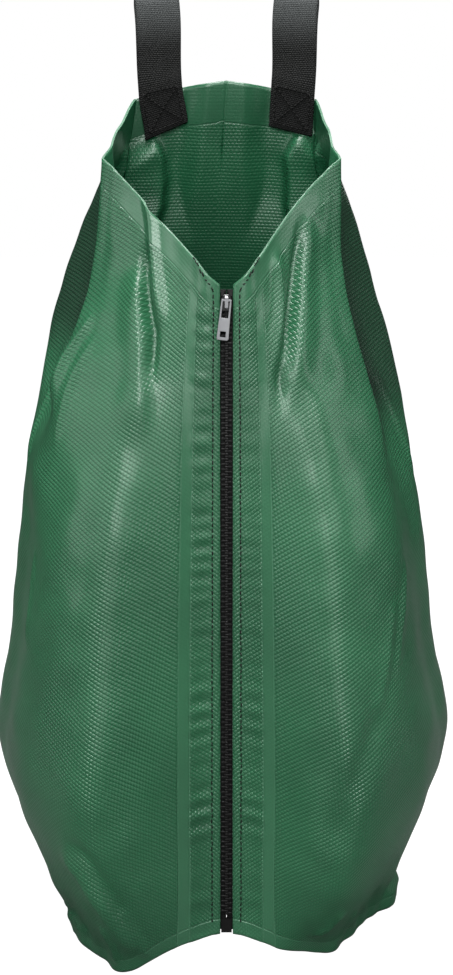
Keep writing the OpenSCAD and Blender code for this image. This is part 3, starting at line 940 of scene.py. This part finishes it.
# Middle line of the webbing in the strap's own (depth, height), in mm.
def strapPath():
    lean = math.radians(strap["lean"])
    reach = strap["high"] - strap["bend"] - strap["thick"]
    leg = strap["bend"] + strap["thick"] / 2
    half = strap["thick"] / 2

    def up(y, z):
        return y * math.cos(lean) + z * math.sin(lean), z * math.cos(lean) - y * math.sin(lean)

    def rise(sign):
        return [up(sign * (half + (leg - half) * smooth(f)), 2 + (reach - 2) * f)
                for f in np.linspace(0, 1, 16)]

    sewn = [(-half, -strap["tail"] - strap["clear"] + 36 * f) for f in np.linspace(0, 1, 10)]
    top = [up(-leg * math.cos(a), reach + leg * math.sin(a)) for a in np.linspace(0.2, math.pi - 0.2, 9)]
    rear = [(-y, z) for y, z in sewn]
    return np.array(sewn + rise(-1) + top + rise(1)[::-1] + rear[::-1], float)


# The sewn ends are pulled askew: how far each point drops or rises across the webbing.
def askew(sign, points):
    x, z = points[..., 0], points[..., 2]
    low = np.clip((-5.5 * mm - z) / (35 * mm), 0, 1)
    slope = np.where(sign < 0, 0.17 + 0.19 * low, -0.185)
    made = points.copy()
    made[..., 2] += slope * x * smooth((12 * mm - z) / (14 * mm))
    drift = smooth((60 * mm - z) / (60 * mm))
    leftward = -3.2 * mm * drift * smooth((z + 40 * mm) / (34 * mm))
    made[..., 0] += np.where(sign < 0, leftward, 3.5 * mm * drift)
    return made


def makeStrap(side):
    sign = 1 if side == "right" else -1
    path = strapPath()
    step = np.r_[0, np.cumsum(np.linalg.norm(np.diff(path, axis=0), axis=1))]
    fine = np.linspace(0, step[-1], strap["rows"])
    path = np.stack([np.interp(fine, step, path[:, 0]), np.interp(fine, step, path[:, 1])], -1)
    for _ in range(3):
        path[1:-1] = (path[:-2] + 2 * path[1:-1] + path[2:]) / 4
    ahead = unit(np.gradient(path, axis=0))
    outward = np.stack([-ahead[:, 1], ahead[:, 0]], -1)
    u = np.linspace(-0.5, 0.5, strap["cols"])
    thin = 0.5 * strap["thick"] * (1 - 0.55 * np.abs(2 * u) ** 10)
    grids = []
    for face in (1, -1):
        off = path[:, None] + face * outward[:, None] * thin[None, :, None]
        wide = np.broadcast_to(u * strap["width"], off.shape[:2])
        grids.append(np.stack([wide, off[..., 0], off[..., 1]], -1) * mm)
    faces, _ = shellFaces(len(path), strap["cols"])
    uv = np.stack([np.stack(np.meshgrid(u * strap["width"] * mm, fine * mm), -1)] * 2)
    made = makeObject("strap_" + side, askew(sign, np.stack(grids)), faces, [webbing], None, {"Weave": uv})
    made.matrix_world = strapFrame(sign)
    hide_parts("strap_%s_tail" % side, "strap_%s_loop" % side)
    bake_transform(made)
    return made


def makeStrapStitches(side):
    sign = 1 if side == "right" else -1
    w, top, foot = strap["width"] / 2 - 4, -5.5, -strap["tail"] - strap["clear"] + 4
    runs = [((-w, top), (w, top)), ((-w, foot), (w, foot)), ((-w, foot), (-w, top)), ((w, foot), (w, top)),
            ((-w, foot), (w, top)), ((w, foot), (-w, top))]
    parts = []
    for a, b in runs:
        a, b = np.array(a), np.array(b)
        count = int(np.linalg.norm(b - a) / 3.6)
        for i in range(count):
            ends = [a + (b - a) * (i + f) / count for f in (0.14, 0.86)]
            start, end = (np.array([e[0], -strap["thick"] - 0.05, e[1]]) * mm for e in ends)
            parts.append(stitchAt(start, end, np.array([0, -1, 0.0]), 0.5 * mm, 0.3 * mm))
    points, faces = joined(parts)
    made = makeObject("stitches_strap_" + side, askew(sign, points), faces, [thread])
    made.matrix_world = strapFrame(sign)
    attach(made, "bag")
    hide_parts("strap_stitching_" + side)


for side in ("left", "right"):
    makeStrap(side)
    makeStrapStitches(side)
for node in ("drip_patch_left", "drip_patch_right"):
    for holder in nodes[node].material_slots:
        holder.material = cutEdge
print("stage: straps")


# A flat pale floor.
floor = {"radii": (0.4, 1.5, 4.0, 9.0), "sides": 48, "z": -0.0005}


def paleStage():
    n = floor["sides"]
    turn = np.linspace(0, 2 * math.pi, n + 1)[:-1]
    points = [(r * math.cos(a), r * math.sin(a), floor["z"]) for r in floor["radii"] for a in turn]
    faces = [tuple(range(n))]
    for k in range(0, n * (len(floor["radii"]) - 1), n):
        faces += [(k + i, k + n + i, k + n + (i + 1) % n, k + (i + 1) % n) for i in range(n)]
    material = bpy.data.materials.new("paleStage")
    material.use_nodes = True
    tree = material.node_tree
    tree.nodes.clear()
    seen = tree.nodes.new("ShaderNodeLightPath").outputs["Is Camera Ray"]
    diffuse = wire(tree, "ShaderNodeBsdfDiffuse", {"Color": (0.20, 0.20, 0.20, 1)})
    glow = wire(tree, "ShaderNodeEmission", {"Color": (1, 1, 1, 1), "Strength": seen})
    both = wire(tree, "ShaderNodeAddShader", {0: diffuse.outputs[0], 1: glow.outputs[0]})
    out = tree.nodes.new("ShaderNodeOutputMaterial")
    tree.links.new(both.outputs[0], out.inputs[0])
    made = makeObject("paleStage", points, faces, [material])


# A lamp that shows in reflections (shiny), lights the cloth itself (soft), or both.
def softBox(name, place, size, power, aim=(0, 0, 0.35), shiny=True, soft=True):
    data = bpy.data.lights.new(name, "AREA")
    data.shape = "RECTANGLE"
    data.size, data.size_y = size
    data.energy = power
    light = bpy.data.objects.new(name, data)
    bpy.context.scene.collection.objects.link(light)
    light.location = place
    light.visible_glossy = shiny
    light.visible_diffuse = soft
    light.rotation_mode = "QUATERNION"
    light.rotation_quaternion = (Vector(aim) - Vector(place)).to_track_quat("-Z", "Y")


def makeWorld():
    world = bpy.data.worlds.new("studio")
    bpy.context.scene.world = world
    world.use_nodes = True
    tree = world.node_tree
    tree.nodes.clear()
    path = tree.nodes.new("ShaderNodeLightPath")
    strength = calc(tree, "MULTIPLY_ADD", path.outputs["Is Camera Ray"], 0.94, 0.06)
    sky = wire(tree, "ShaderNodeBackground", {"Color": (1, 1, 1, 1), "Strength": strength})
    out = tree.nodes.new("ShaderNodeOutputWorld")
    tree.links.new(sky.outputs[0], out.inputs[0])


paleStage()
makeWorld()
softBox("windowHigh", (-0.3, -1.8, 2.0), (1.3, 1.0), 42, aim=(0, 0, 0.5), soft=False)
softBox("windowRight", (1.2, -1.5, 1.9), (1.1, 1.1), 11, aim=(0, 0, 0.5), soft=False)
softBox("windowLeft", (-1.9, -1.2, 1.5), (1.2, 1.2), 8, aim=(0, 0, 0.5), soft=False)
softBox("sideRight", (2.0, -0.45, 1.35), (0.5, 1.1), 7, aim=(0, 0, 0.5), soft=False)
softBox("sideLeft", (-2.0, -0.4, 1.1), (0.5, 1.1), 5, aim=(0, 0, 0.4), soft=False)
softBox("frontSheen", (-0.1, -2.9, 0.9), (1.6, 0.8), 4, soft=False)
softBox("frontFill", (-0.2, -2.4, 1.4), (2.2, 1.4), 41, shiny=False)
softBox("overhead", (0.0, 0.0, 2.1), (0.7, 0.7), 34)
softBox("fillLeft", (-2.0, -0.7, 0.7), (1.0, 1.4), 11, shiny=False)
softBox("fillRight", (2.0, -0.7, 0.7), (1.0, 1.4), 10, shiny=False)
softBox("fillRear", (0.3, 2.2, 1.3), (1.6, 1.2), 16)
bpy.context.scene.view_settings.view_transform = "Standard"
print("stage: light")
